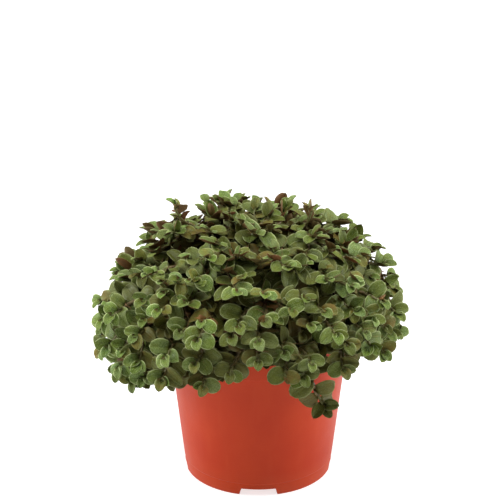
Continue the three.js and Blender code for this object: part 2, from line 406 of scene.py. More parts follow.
def closed(mesh, merge):
    shape = bmesh.new()
    shape.from_mesh(mesh)
    if merge:
        bmesh.ops.remove_doubles(shape, verts=shape.verts, dist=merge)
        bmesh.ops.dissolve_degenerate(shape, edges=shape.edges, dist=merge / 10)
    bmesh.ops.recalc_face_normals(shape, faces=shape.faces)
    shape.to_mesh(mesh)
    shape.free()
    mesh.shade_smooth()
    return mesh


def templates(name, meshes):
    """A collection of shapes for a node tree to place, in the order of their names."""
    collection = bpy.data.collections.new(name)
    for mesh in meshes:
        collection.objects.link(bpy.data.objects.new(mesh.name, mesh))
    return collection


def discard(collection):
    for obj in list(collection.objects):
        bpy.data.objects.remove(obj)
    bpy.data.collections.remove(collection)


def applied(obj, name):
    """The object's evaluated shape as a plain mesh in a new object; the old one is removed."""
    depsgraph = bpy.context.evaluated_depsgraph_get()
    mesh = bpy.data.meshes.new_from_object(obj.evaluated_get(depsgraph), depsgraph=depsgraph)
    mesh.name = name
    bpy.data.objects.remove(obj)
    return link(name, mesh)


def grown(name, mesh, tree, **sizes):
    """The piece that a node tree grows on a mesh, as a plain mesh. Inputs are set by their identifiers."""
    grower = link(f"{name}_start", mesh)
    modifier = grower.modifiers.new(tree.name, "NODES")
    modifier.node_group = tree
    for item in tree.interface.items_tree:
        if item.item_type == "SOCKET" and item.in_out == "INPUT" and item.name.replace(" ", "_") in sizes:
            modifier[item.identifier] = sizes[item.name.replace(" ", "_")]
    return applied(grower, name)


# ------------------------------------------------------------------ how a shoot grows

def lowest_polar(azimuth):
    """How far round from its top the mound hangs at an azimuth."""
    sideways = LOW_RIGHT_OVER_LEFT * math.cos(azimuth) + LOW_SIDES_OVER_ENDS * math.cos(2 * azimuth)
    return math.radians(LOW_MEAN + sideways + LOW_BACK_OVER_FRONT * math.sin(azimuth))


def mound_point(polar, azimuth, depth=0.0):
    height = MOUND_RISE if polar < math.pi / 2 else MOUND_FALL
    radius = MOUND_RADIUS - depth
    return Vector((
        MOUND_LEAN + radius * math.sin(polar) * math.cos(azimuth),
        radius * math.sin(polar) * math.sin(azimuth),
        MOUND_HEIGHT + (height - depth) * math.cos(polar),
    ))


def mound_normal(point):
    height = MOUND_RISE if point.z > MOUND_HEIGHT else MOUND_FALL
    return Vector((
        (point.x - MOUND_LEAN) / MOUND_RADIUS ** 2,
        point.y / MOUND_RADIUS ** 2,
        (point.z - MOUND_HEIGHT) / height ** 2,
    )).normalized()


def mound_share(point):
    """1 on the mound's skin, less inside it."""
    height = MOUND_RISE if point.z > MOUND_HEIGHT else MOUND_FALL
    flat = math.hypot(point.x - MOUND_LEAN, point.y) / MOUND_RADIUS
    return math.hypot(flat, (point.z - MOUND_HEIGHT) / height)


def bezier(points, t):
    a, b, c, d = points
    s = 1 - t
    return a * s ** 3 + b * (3 * s * s * t) + c * (3 * s * t * t) + d * t ** 3


def clears_rim(points):
    for k in range(PATH_STEPS + 1):
        p = bezier(points, k / PATH_STEPS)
        near = abs(math.hypot(p.x, p.y) - RIM_RADIUS) < RIM_CLEARANCE
        if near and p.z < POT_HEIGHT + RIM_CLEARANCE:
            return False
    return True


def arched_path(root, before_tip, tip, rise):
    points = [root, root + UP * rise, before_tip, tip]
    while not clears_rim(points):
        points[1] = points[1] + UP * RIM_STEP
    return points


def wall_radius(height):
    return mix(BASE_RADIUS, RIM_RADIUS - BAND_REACH, height / (POT_HEIGHT - BAND_HEIGHT))


def soil_point(margin, share, azimuth):
    radius = (wall_radius(SOIL_TOP) - WALL - margin) * share
    return Vector((radius * math.cos(azimuth), radius * math.sin(azimuth), SOIL_TOP - ROOT_DEPTH))


def way_at(polar, azimuth):
    """The direction that a stem has where it meets the mound: out at the top, and down at the sides."""
    down = (mound_point(polar + WAY_PROBE, azimuth) - mound_point(polar - WAY_PROBE, azimuth)).normalized()
    hang = min(1, polar / (math.pi / 2))
    out = mound_normal(mound_point(polar, azimuth))
    return (down * mix(*WAY_DOWN, hang) + out * mix(*WAY_OUT, hang)).normalized()


def mound_path(index, nudge):
    share = (index + 0.5) / SHOOTS
    azimuth = index * GOLDEN_ANGLE + AZIMUTH_PLAY * spread(index, 2 + nudge)
    polar = math.acos(1 - share * (1 - math.cos(lowest_polar(azimuth))))
    tip = mound_point(polar, azimuth)
    root_azimuth = azimuth + ROOT_PLAY * nudge * spread(index, 3 + nudge)
    root = soil_point(ROOT_MARGIN, math.sqrt(share), root_azimuth)
    handle = STEM_BEND * (tip - root).length
    return arched_path(root, tip - way_at(polar, azimuth) * handle, tip, handle + ROOT_DEPTH)


def trailing_path(nudge):
    azimuth = TRAILING_AZIMUTH + AZIMUTH_PLAY * nudge * spread(SHOOTS, nudge)

    def outside(reach, height):
        radius = RIM_RADIUS + reach
        return Vector((radius * math.cos(azimuth), radius * math.sin(azimuth), height))

    root = soil_point(TRAILING_ROOT_MARGIN, 1, azimuth)
    shoulder = outside(TRAILING_REACH + TRAILING_BULGE, POT_HEIGHT + TRAILING_BULGE)
    return arched_path(root, shoulder, outside(TRAILING_REACH, POT_HEIGHT - TRAILING_DROP), TRAILING_RISE)


def seen_height(place):
    """How high a place looks from in front and a little above."""
    return place.z + FRONT_DROP * min(0.0, place.y)


def patch(place, spots):
    """Whether a place on the front of the mound lies in one of the spots."""
    near = (math.hypot(place.x - x, seen_height(place) - up) < reach for x, up, reach in spots)
    return place.y < FRONT_REACH and any(near)


def facing_way(place):
    """Which way a shoot's face looks: out of the mound, drawn toward the light that fell on its front."""
    out = mound_normal(place)
    if patch(place, BLUSHED):
        return out
    pull = LIGHT_PULL * fade(out.y, *FRONT_NORMAL) * fade(out.z, *FLANK_NORMAL)
    return out.lerp(FRONT, pull).normalized()


def frame_root(node):
    """Where a frame shoot stands in the soil: the middle of its lowest corners."""
    corners = np.array([v.co for v in frame["nodes"][node].data.vertices])
    lowest = corners[corners[:, 2] < corners[:, 2].min() + 0.0001]
    return Vector((lowest.min(axis=0) + lowest.max(axis=0)) / 2)


def frame_path(node, path_for):
    """The way up that the frame's shoot took: the one whose root is where the frame has it."""
    root = frame_root(node)
    paths = [path_for(nudge) for nudge in range(MOST_NUDGES)]
    return min(paths, key=lambda points: (points[0] - root).xy.length)


def settled(points, seed):
    """The path as the shoots' weight leaves it: its tip sunk and leant, and lying down if it is high up."""
    root, rise, before_tip, tip = points
    out = mound_normal(tip)
    shoulder = fade(-tip.x, *SHOULDER_LEFT) * fade(tip.z, *SHOULDER_HEIGHT)
    sunk = mix(SETTLE, CROWN_SETTLE, fade(out.z, *CROWN_NORMAL)) + SHOULDER_SETTLE * shoulder
    shift = out * -sunk + Vector((HEAD_LEAN, 0, 0))
    way = (tip - before_tip).normalized()
    flat = (way - out * way.dot(out) * LAID_SHARE).normalized()
    flat = Matrix.Rotation(LAID_TURN * spread(seed, 6), 3, out) @ flat
    laid = way.lerp(flat, fade(tip.z, *LAID_HEIGHT)).normalized()
    before_tip = tip - laid * (tip - before_tip).length
    return [root, rise, before_tip + shift, tip + shift]


class Axis:
    """One leafy stem: its curve, where its leaves stand, and how it looks."""

    def __init__(self, seed, points, tint, leafy=LEAFY_LENGTH, leaf=LEAF_LENGTH, age=0.0,
                 settle=True, spacing=LEAF_SPACING, facing=0.0):
        self.seed, self.tint, self.age = seed, tint, age
        self.leaf, self.spacing, self.facing = leaf, spacing, facing
        self.points = settled(points, seed) if settle else points
        self.line = [bezier(points, k / PATH_STEPS) for k in range(PATH_STEPS + 1)]
        self.lengths = np.cumsum([0.0] + [(b - a).length for a, b in zip(self.line, self.line[1:])])
        self.length = self.lengths[-1]
        self.nodes = self.leaf_nodes(min(leafy, LEAFY_MOST * self.length))

    def at(self, distance):
        """The point and direction at a distance back from the tip."""
        t = np.interp(self.length - distance, self.lengths, np.linspace(0, 1, len(self.line)))
        place = bezier(self.points, t)
        ahead = bezier(self.points, min(1, t + HEADING_PROBE))
        behind = bezier(self.points, max(0, t - HEADING_PROBE))
        curl = max(0.0, 1 - distance / CURL_LENGTH)
        out = facing_way(place)
        heading = (ahead - behind).normalized() + out * CURL_TURN * curl * CURL_REACH / CURL_LENGTH
        return place + out * CURL_REACH * curl ** 2, heading.normalized()

    def leaf_nodes(self, leafy):
        """Distances back from the tip at which leaves stand."""
        nodes, distance, k = [], FIRST_LEAF, 0
        while distance < leafy:
            nodes.append(distance)
            step = min(self.spacing, BUD_SPACING + self.spacing / LEAF_SPACING * SPACING_GROWTH * k)
            distance += step * (SPACING_LEAST + SPACING_PLAY * chance(self.seed, 300 + k))
            k += 1
        return nodes


def side_axes(mains):
    """Side shoots: tips spread evenly over the mound, each on the nearest of the frame's shoots."""
    axes = {node: [] for node in mains}
    tips = {node: main.points[3] for node, main in mains.items()}

    def nearest(tip):
        node = min(tips, key=lambda name: (tips[name] - tip).length)
        return node, mains[node], (tips[node] - tip).length

    def grow(count, turn, depth, first_seed, **looks):
        for k in range(count):
            seed = first_seed + k
            azimuth = turn + k * GOLDEN_ANGLE + SIDE_AZIMUTH_PLAY * spread(seed, 1)
            lowest = lowest_polar(azimuth) + SIDE_LOWER
            polar = math.acos(1 - (k + 0.5) / count * (1 - math.cos(lowest)))
            tip = mound_point(polar, azimuth, depth + DEPTH_PLAY * chance(seed, 2))
            node, main, gap = nearest(tip)
            if depth == 0 and gap < SIDE_TIP_GAP:
                continue
            start, heading = main.at(min(SIDE_START_MOST * main.length, gap * SIDE_START_GAP + SIDE_START))
            turned_to = azimuth + SIDE_TURN_PLAY * spread(seed, 3) / max(SIDE_TURN_WIDTH, math.sin(polar))
            way = way_at(polar, turned_to) + mound_normal(tip) * SIDE_LIFT * chance(seed, 4) ** 1.5
            reach = (tip - start).length
            before_tip = tip - way.normalized() * reach * SIDE_HANG
            points = [start, start + heading * reach * SIDE_RISE, before_tip, tip]
            tint = main.tint + SIDE_TINT_PLAY * spread(seed, 5)
            axes[node].append(Axis(seed, settled(points, seed), tint, settle=False, **looks))

    for k, place in enumerate(STRAY_TIPS):
        tip = Vector(place)
        node, main, gap = nearest(tip)
        start, heading = main.at(gap * SIDE_START_GAP + SIDE_START)
        reach = (tip - start).length
        way = (mound_normal(tip) + UP * STRAY_LIFT).normalized()
        points = [start, start + heading * reach * STRAY_RISE, tip - way * reach * STRAY_HANG, tip]
        stray = Axis(4000 + k, points, STRAY_TINT, settle=False, leafy=STRAY_LEAFY, leaf=STRAY_LEAF)
        axes[node].append(stray)
    grow(SIDE_TIPS, turn=1.1, depth=0, first_seed=1000, leafy=0.052)
    grow(SHADE_TIPS, turn=2.3, depth=SHADE_DEPTH, first_seed=2000, leafy=0.048, age=0.35, leaf=SHADED_LEAF)
    grow(INNER_TIPS, turn=4.1, depth=INNER_DEPTH, first_seed=3000, leafy=0.045, age=0.9, leaf=INNER_LEAF)
    return axes


# ------------------------------------------------------------------ leaf shapes

def leaf_outline(along, base):
    """Half a leaf's width, as a share of its widest: it clasps the stem and ends in a point."""
    widest = 0.38
    return ((along + base) / (widest + base)) ** 0.5 * max(0.0, (1 - along) / (1 - widest)) ** 0.55


def leaf_blade(name, width, cup, wrap=1.6, base=0.06, fold=0.0, bend=0.3, wave=0.0, thickness=0.04):
    """A leaf one unit long from its base at the origin, running along +Y with its upper face to +Z.

    Each row across it is an arc: `wrap` is half the arc's angle where the base clasps the stem, and `cup` is
    the same further out. `bend` is how far its tip turns down from +Y, in radians."""
    corners, under, uvs = [], [], []
    centre, rows = Vector((0, 0, 0)), []
    stations = [1 - (1 - row / LEAF_ROWS) ** ROW_CROWDING for row in range(LEAF_ROWS + 1)]
    for along, after in zip(stations, stations[1:] + [1.0]):
        angle = bend * min(1, along / 0.6) ** 1.5
        rows.append((along, centre.copy(), Vector((0, math.sin(angle), math.cos(angle)))))
        centre += Vector((0, math.cos(angle), -math.sin(angle))) * (after - along)
    for side in (0, 1):
        for along, middle, normal in rows:
            reach = leaf_outline(along, base) * width / 2
            half = mix(cup, wrap, max(0.0, 1 - along / 0.4) ** 1.3)
            for column in range(LEAF_COLUMNS + 1):
                across = 2 * column / LEAF_COLUMNS - 1
                rise = reach * ((1 - math.cos(half * across)) / half + fold * abs(across))
                rise += wave * across * math.sin(6 * along)
                thick = thickness * (1 - 0.7 * abs(across)) * (1 - 0.5 * along)
                corners.append(middle + normal * (rise - side * thick)
                               + Vector((reach * math.sin(half * across) / half, 0, 0)))
                under.append(float(side))
                uvs.append((across / 2 + 0.5, along))
    faces = []
    line = LEAF_COLUMNS + 1
    low = (LEAF_ROWS + 1) * line
    for row in range(LEAF_ROWS):
        for column in range(LEAF_COLUMNS):
            a = row * line + column
            faces.append((a, a + 1, a + line + 1, a + line))
            faces.append((low + a, low + a + line, low + a + line + 1, low + a + 1))
        a = row * line
        b = a + LEAF_COLUMNS
        faces.append((a, a + line, low + a + line, low + a))
        faces.append((b, low + b, low + b + line, b + line))
    for column in range(LEAF_COLUMNS):
        b = LEAF_ROWS * line + column
        faces.append((column, low + column, low + column + 1, column + 1))
        faces.append((b, b + 1, low + b + 1, low + b))
    mesh = bpy.data.meshes.new(name)
    mesh.from_pydata(corners, [], faces)
    mesh.attributes.new("under", "FLOAT", "POINT").data.foreach_set("value", under)
    blade = mesh.uv_layers.new(name="blade")
    for loop in mesh.loops:
        blade.data[loop.index].uv = uvs[loop.vertex_index]
    return closed(mesh, LEAF_MERGE)


def leaf_kinds():
    """The leaf shapes that a shoot picks from, in the order of the `kind` attribute."""
    shapes = {
        "leaf_0_open": dict(width=0.84, cup=0.55, bend=0.45),
        "leaf_1_cupped": dict(width=0.80, cup=1.05, bend=-0.25),
        "leaf_2_folded": dict(width=0.72, cup=0.30, fold=0.35, bend=0.5),
        "leaf_3_wavy": dict(width=0.86, cup=0.35, bend=0.75, wave=0.05),
        "leaf_4_funnel": dict(width=0.92, cup=0.70, wrap=2.7, base=0.55, bend=0.8),
        "leaf_5_dried": dict(width=0.55, cup=1.5, fold=0.2, bend=1.6, wave=0.2, thickness=0.03),
    }
    return templates("leaf_kinds", [leaf_blade(name, **shape) for name, shape in shapes.items()])


# ------------------------------------------------------------------ shader groups

def node_group(kind, name, inputs, outputs):
    """A node group with its named inputs and outputs, what the inputs give and where the outputs go."""
    group = bpy.data.node_groups.new(name, kind)
    for socket, value_kind, default in inputs:
        item = group.interface.new_socket(socket, in_out="INPUT", socket_type=value_kind)
        if default is not None:
            item.default_value = default
    for socket, value_kind in outputs:
        group.interface.new_socket(socket, in_out="OUTPUT", socket_type=value_kind)
    return group, group.nodes.new("NodeGroupInput").outputs, group.nodes.new("NodeGroupOutput").inputs


def math_node(tree, operation, a, b=0.0, c=0.0, within=False):
    """A sum on values; `within` keeps its result from 0 to 1."""
    node = add(tree, "ShaderNodeMath", {"operation": operation, "use_clamp": within}, _0=a, _1=b, _2=c)
    return node.outputs[0]


def remap(tree, value, low, high, to_low=0.0, to_high=1.0):
    node = add(tree, "ShaderNodeMapRange", Value=value, From_Min=low, From_Max=high,
               To_Min=to_low, To_Max=to_high)
    return node.outputs["Result"]


def times(tree, a, b):
    return math_node(tree, "MULTIPLY", a, b)


def blend_colour(tree, share, a, b):
    """A colour mixed from two, each a named colour or another node's output."""
    a, b = ((*colour, 1) if isinstance(colour, tuple) else colour for colour in (a, b))
    return add(tree, "ShaderNodeMix", {"data_type": "RGBA"}, _0=share, _6=a, _7=b).outputs[2]


def attribute(tree, name):
    return add(tree, "ShaderNodeAttribute", {"attribute_name": name}).outputs["Fac"]


def noise(tree, scale, detail, place, rough=0.55):
    node = add(tree, "ShaderNodeTexNoise", Scale=scale, Detail=detail, Vector=place, Roughness=rough)
    return node.outputs["Fac"]


def speckle_group():
    """Fine grain, sparse spots and slow mottling over a surface, at a given scale."""
    group, given, made = node_group(
        "ShaderNodeTree", "Speckle",
        [("Vector", "NodeSocketVector", None), ("Scale", "NodeSocketFloat", 900.0)],
        [("Grain", "NodeSocketFloat"), ("Spots", "NodeSocketFloat"), ("Mottle", "NodeSocketFloat")],
    )
    grain = noise(group, given["Scale"], 2.0, given["Vector"], 0.5)
    spots = add(group, "ShaderNodeTexVoronoi", {"feature": "F1"}, Vector=given["Vector"],
                Scale=given["Scale"]).outputs["Distance"]
    slow = noise(group, times(group, given["Scale"], 0.2), 2.0, given["Vector"], 0.5)
    feed(group, made, Grain=remap(group, grain, 0.38, 0.62), Spots=remap(group, spots, 0.38, 0.16),
         Mottle=remap(group, slow, 0.35, 0.65))
    return group


def blade_group():
    """Where a point lies on a leaf: how near its margin, a vein, its base, its core and its midrib."""
    group, given, made = node_group(
        "ShaderNodeTree", "Blade",
        [("Veins", "NodeSocketFloat", 15.0)],
        [(name, "NodeSocketFloat") for name in ("Margin", "Vein", "Streak", "Core", "Base", "Middle")],
    )
    place = add(group, "ShaderNodeUVMap", {"uv_map": "blade"}).outputs[0]
    parts = add(group, "ShaderNodeSeparateXYZ", Vector=place).outputs
    off = math_node(group, "ABSOLUTE", math_node(group, "SUBTRACT", parts["X"], 0.5))
    along = parts["Y"]
    edge = math_node(group, "MAXIMUM", times(group, off, 2.0), remap(group, along, 0.55, 1.0))
    turn = times(group, times(group, off, given["Veins"]), 2 * math.pi)
    wave = math_node(group, "MULTIPLY_ADD", math_node(group, "SINE", turn), 0.5, 0.5)
    stretched = add(group, "ShaderNodeMapping", Vector=place, Scale=(13, 2.2, 1)).outputs[0]
    across = add(group, "ShaderNodeVectorMath", {"operation": "ADD"}, _0=stretched,
                 _1=add(group, "ShaderNodeTexCoord").outputs["Object"]).outputs[0]
    streak = noise(group, 1.0, 2.0, across, 0.5)
    inner = math_node(group, "MAXIMUM", times(group, off, 2.0), along)
    feed(group, made, Margin=remap(group, edge, 0.84, 0.97), Vein=math_node(group, "POWER", wave, 2.0),
         Streak=remap(group, streak, 0.36, 0.64), Base=remap(group, along, 0.20, 0.04),
         Core=remap(group, inner, 0.62, 0.15), Middle=remap(group, off, 0.05, 0.0))
    return group


def feed(tree, sockets, **values):
    """Links what nodes put out to a shader's inputs or a group's outputs, by their names."""
    for name, value in values.items():
        tree.links.new(value, sockets[name.replace("_", " ")])


def from_group(tree, group, **inputs):
    return add(tree, "ShaderNodeGroup", {"node_tree": group}, **inputs).outputs


def new_material(name, roughness, **sockets):
    material = bpy.data.materials.new(name)
    material.use_nodes = True
    shader = material.node_tree.nodes["Principled BSDF"]
    shader.inputs["Roughness"].default_value = roughness
    for socket, value in sockets.items():
        shader.inputs[socket.replace("_", " ")].default_value = value
    return material, material.node_tree, shader.inputs


def bump(tree, height, distance, strength=1.0):
    return add(tree, "ShaderNodeBump", Height=height, Distance=distance, Strength=strength).outputs[0]


def colour_ramp(tree, value, stops):
    node = add(tree, "ShaderNodeValToRGB", Fac=value)
    ramp = node.color_ramp
    while len(ramp.elements) < len(stops):
        ramp.elements.new(0.5)
    for element, (position, colour) in zip(ramp.elements, stops):
        element.position = position
        element.color = (*colour, 1)
    return node.outputs[0]


def object_place(tree):
    return add(tree, "ShaderNodeTexCoord").outputs["Object"]


# ------------------------------------------------------------------ materials

SAGE = (0.124, 0.232, 0.038)
SILVER = (0.236, 0.360, 0.124)
YELLOW_GREEN = (0.138, 0.216, 0.011)
DEEP_GREEN = (0.020, 0.050, 0.003)
# Painted shade: the dark green of a leaf's cupped heart and the bud's hollow
SHADED_HEART_GREEN = (0.024, 0.088, 0.004)
# Pale specks, and the painted rim highlight along a leaf's margin
PALE_SPECK_AND_RIM_HIGHLIGHT = (0.52, 0.62, 0.27)
# Painted shade: the dark colour that shaded leaves and leaf bases are mixed toward
PAINTED_SHADE = (0.052, 0.044, 0.006)
OLD_LEAF = (0.185, 0.120, 0.022)
PURPLE = (0.220, 0.030, 0.020)
GREY_PURPLE = (0.175, 0.088, 0.052)
GREEN_UNDER = (0.115, 0.120, 0.036)
DRY_BROWN = (0.150, 0.058, 0.014)
DRY_TAN = (0.28, 0.130, 0.040)
STEM_RED = (0.135, 0.045, 0.016)
STEM_BROWN = (0.060, 0.030, 0.012)
STEM_PALE = (0.21, 0.15, 0.06)
STEM_GREEN = (0.085, 0.095, 0.020)
ROOT_STRAW = (0.30, 0.150, 0.055)
TERRACOTTA = (0.367, 0.028, 0.001)
TERRACOTTA_DEEP = (0.334, 0.022, 0.001)
TERRACOTTA_DUST = (0.46, 0.09, 0.035)
PEAT = (0.030, 0.019, 0.011)
PEAT_DRY = (0.085, 0.055, 0.033)
FIBRE = (0.20, 0.12, 0.06)


def leaf_material(speckle, blade):
    """Fleshy leaf: sage green above, purple below, browner as it ages or dries, with painted shade in its
    heart, at its base and where leaves above shade it, and a painted rim highlight along its margin.
    """
    material, tree, shader = new_material("turtle_vine_leaf", 0.5, Specular_IOR_Level=0.18)
    tint, age, dry = attribute(tree, "tint"), attribute(tree, "age"), attribute(tree, "dry")
    under = attribute(tree, "under")
    where = from_group(tree, blade, Veins=8.0)
    spots = from_group(tree, speckle, Vector=object_place(tree), Scale=1300.0)
    top = colour_ramp(tree, tint, [(0.0, DEEP_GREEN), (0.25, YELLOW_GREEN), (0.6, SAGE), (1.0, SILVER)])
    layers = (
        # Painted shade: dark green in the cupped heart of the leaf and the bud's hollow
        (where["Core"], 0.80, SHADED_HEART_GREEN),
        (where["Vein"], 0.30, DEEP_GREEN),
        (where["Streak"], 0.45, SILVER),
        (spots["Grain"], 0.60, DEEP_GREEN),
        (spots["Spots"], 0.35, PALE_SPECK_AND_RIM_HIGHLIGHT),
        (spots["Mottle"], 0.35, YELLOW_GREEN),
        # Painted highlight: a pale rim along the leaf's margin
        (where["Margin"], 0.90, PALE_SPECK_AND_RIM_HIGHLIGHT),
        # Painted shade where the leaf's base wraps the stem
        (where["Base"], 0.85, PAINTED_SHADE),
    )
    for mask, share, colour in layers:
        top = blend_colour(tree, times(tree, mask, share), top, colour)
    mottled = math_node(tree, "MULTIPLY_ADD", spots["Mottle"], 0.6, 0.5)
    old = math_node(tree, "MULTIPLY", age, mottled, within=True)
    top = blend_colour(tree, old, top, OLD_LEAF)
    below = blend_colour(tree, remap(tree, tint, 0.2, 0.9), PURPLE, GREY_PURPLE)
    below = blend_colour(tree, attribute(tree, "blush"), GREEN_UNDER, below)
    below = blend_colour(tree, times(tree, where["Vein"], 0.25), below, GREY_PURPLE)
    colour = blend_colour(tree, under, top, below)
    brown = blend_colour(tree, spots["Mottle"], DRY_BROWN, DRY_TAN)
    colour = blend_colour(tree, dry, colour, brown)
    # Painted shade: leaves deep in the mound, low on it and low on its front are darkened, as if shaded by
    # the leaves above
    colour = blend_colour(tree, times(tree, attribute(tree, "shade"), 0.72), colour, PAINTED_SHADE)
    relief = math_node(tree, "MULTIPLY_ADD", where["Vein"], -0.6, spots["Spots"])
    relief = math_node(tree, "MULTIPLY_ADD", where["Middle"], -1.5, relief)
    feed(tree, shader, Base_Color=colour, Roughness=remap(tree, spots["Mottle"], 0.0, 1.0, 0.42, 0.60),
         Normal=bump(tree, relief, 0.00012, 0.8))
    return material


def stem_material(speckle):
    """Red-brown jointed stem, paler and drier just above each joint."""
    material, tree, shader = new_material("turtle_vine_stem", 0.55, Specular_IOR_Level=0.4)
    joint = attribute(tree, "joint")
    spots = from_group(tree, speckle, Vector=object_place(tree), Scale=1100.0)
    colour = blend_colour(tree, spots["Mottle"], STEM_RED, STEM_BROWN)
    colour = blend_colour(tree, times(tree, joint, 0.75), colour, STEM_PALE)
    colour = blend_colour(tree, times(tree, spots["Spots"], 0.25), colour, STEM_BROWN)
    colour = blend_colour(tree, attribute(tree, "tint"), colour, STEM_GREEN)
    feed(tree, shader, Base_Color=colour, Roughness=remap(tree, spots["Mottle"], 0.0, 1.0, 0.45, 0.7),
         Normal=bump(tree, spots["Spots"], 0.00012))
    return material


def root_material(speckle):
    """Dry, straw-coloured aerial rootlets."""
    material, tree, shader = new_material("aerial_root", 0.8)
    spots = from_group(tree, speckle, Vector=object_place(tree), Scale=1500.0)
    colour = blend_colour(tree, spots["Mottle"], ROOT_STRAW, STEM_BROWN)
    feed(tree, shader, Base_Color=colour, Normal=bump(tree, spots["Spots"], 0.00008))
    return material


def plastic_material(speckle):
    """Terracotta-coloured moulded plastic with a satin skin, faintly streaked, and dusty by the foot."""
    material, tree, shader = new_material("terracotta_plastic", 0.4, Specular_IOR_Level=0.15)
    place = object_place(tree)
    spots = from_group(tree, speckle, Vector=place, Scale=1300.0)
    flow = add(tree, "ShaderNodeMapping", Vector=place, Scale=(90, 90, 9)).outputs[0]
    streak = noise(tree, 1.0, 4.0, flow)
    cloud = noise(tree, 28.0, 3.0, place)
    height = add(tree, "ShaderNodeSeparateXYZ", Vector=place).outputs["Z"]
    colour = blend_colour(tree, remap(tree, cloud, 0.35, 0.65), TERRACOTTA, TERRACOTTA_DEEP)
    streaks = times(tree, remap(tree, streak, 0.5, 0.75), 0.12)
    colour = blend_colour(tree, streaks, colour, TERRACOTTA_DUST)
    foot = times(tree, remap(tree, height, 0.016, 0.0), remap(tree, cloud, 0.3, 0.7))
    dust = math_node(tree, "MULTIPLY_ADD", foot, 0.35, times(tree, spots["Spots"], 0.05))
    colour = blend_colour(tree, dust, colour, TERRACOTTA_DUST)
    worn = math_node(tree, "ADD", streak, cloud)
    relief = math_node(tree, "MULTIPLY_ADD", spots["Spots"], 0.25, streak)
    feed(tree, shader, Base_Color=colour, Roughness=remap(tree, worn, 0.7, 1.3, 0.42, 0.56),
         Normal=bump(tree, relief, 0.00010, 0.7))
    return material


def soil_material(speckle):
    """Dark moist peat with paler dry crumbs."""
    material, tree, shader = new_material("potting_mix", 0.95, Specular_IOR_Level=0.2)
    place = object_place(tree)
    spots = from_group(tree, speckle, Vector=place, Scale=900.0)
    colour = blend_colour(tree, spots["Mottle"], PEAT, PEAT_DRY)
    fibres = remap(tree, noise(tree, 420.0, 4.0, place), 0.62, 0.72)
    colour = blend_colour(tree, times(tree, fibres, 0.6), colour, FIBRE)
    relief = math_node(tree, "ADD", spots["Spots"], spots["Mottle"])
    feed(tree, shader, Base_Color=colour, Normal=bump(tree, relief, 0.0004))
    return material


# ------------------------------------------------------------------ the node tree of a shoot

def geometry_tree(name, sizes):
    geometry = ("Geometry", "NodeSocketGeometry")
    return node_group("GeometryNodeTree", name, [(*geometry, None), *sizes], [geometry])


def template_shapes(tree, collection):
    return add(tree, "GeometryNodeCollectionInfo", Collection=collection,
               Separate_Children=True, Reset_Children=True).outputs[0]


def named(tree, name, kind="FLOAT"):
    return add(tree, "GeometryNodeInputNamedAttribute", {"data_type": kind}, Name=name).outputs["Attribute"]


def shoot_tree(leaves, rootlets, leaf_look, stem_look, root_look):
    """Sweeps the stems, stands a leaf on each leaf point and a rootlet on each root point."""
    sizes = [(name, "NodeSocketFloat", 1.0) for name in ("Leaf Scale", "Stem Scale", "Root Scale")]
    tree, given, made = geometry_tree("Grow shoot", [*sizes, ("Stem Sides", "NodeSocketInt", 7)])

    def standing(role, collection, scale):
        chosen = add(tree, "FunctionNodeCompare", {"data_type": "INT", "operation": "EQUAL"},
                     _2=named(tree, "role", "INT"), _3=role).outputs[0]
        points = add(tree, "GeometryNodeSeparateGeometry", {"domain": "POINT"},
                     Geometry=given["Geometry"], Selection=chosen).outputs["Selection"]
        size = times(tree, named(tree, "size"), scale)
        return add(tree, "GeometryNodeInstanceOnPoints", Points=points, Pick_Instance=True,
                   Instance=template_shapes(tree, collection), Instance_Index=named(tree, "kind", "INT"),
                   Rotation=named(tree, "turn", "QUATERNION"), Scale=size).outputs[0]

    stems = add(tree, "GeometryNodeMeshToCurve", Mesh=given["Geometry"]).outputs[0]
    stems = add(tree, "GeometryNodeStoreNamedAttribute", {"data_type": "FLOAT", "domain": "POINT"},
                Geometry=stems, Name="stem", Value=1.0).outputs[0]
    ring = add(tree, "GeometryNodeCurvePrimitiveCircle", Resolution=given["Stem Sides"],
               Radius=1.0).outputs[0]
    thick = times(tree, named(tree, "size"), given["Stem Scale"])
    swept = add(tree, "GeometryNodeCurveToMesh", Curve=stems, Profile_Curve=ring,
                Scale=thick, Fill_Caps=True).outputs[0]
    swept = add(tree, "GeometryNodeSetShadeSmooth", Geometry=swept).outputs[0]
    joined = tree.nodes.new("GeometryNodeJoinGeometry")
    leafy = standing(LEAF, leaves, given["Leaf Scale"])
    rooted = standing(ROOTLET, rootlets, given["Root Scale"])
    for part in (swept, leafy, rooted):
        tree.links.new(part, joined.inputs[0])
    whole = add(tree, "GeometryNodeRealizeInstances", Geometry=joined.outputs[0]).outputs[0]
    for material, chosen in ((stem_look, named(tree, "stem")), (leaf_look, named(tree, "leaf")),
                             (root_look, named(tree, "rootlet"))):
        whole = add(tree, "GeometryNodeSetMaterial", Geometry=whole, Material=material,
                    Selection=chosen).outputs[0]
    tree.links.new(whole, made["Geometry"])
    return tree


# ------------------------------------------------------------------ from axes to points

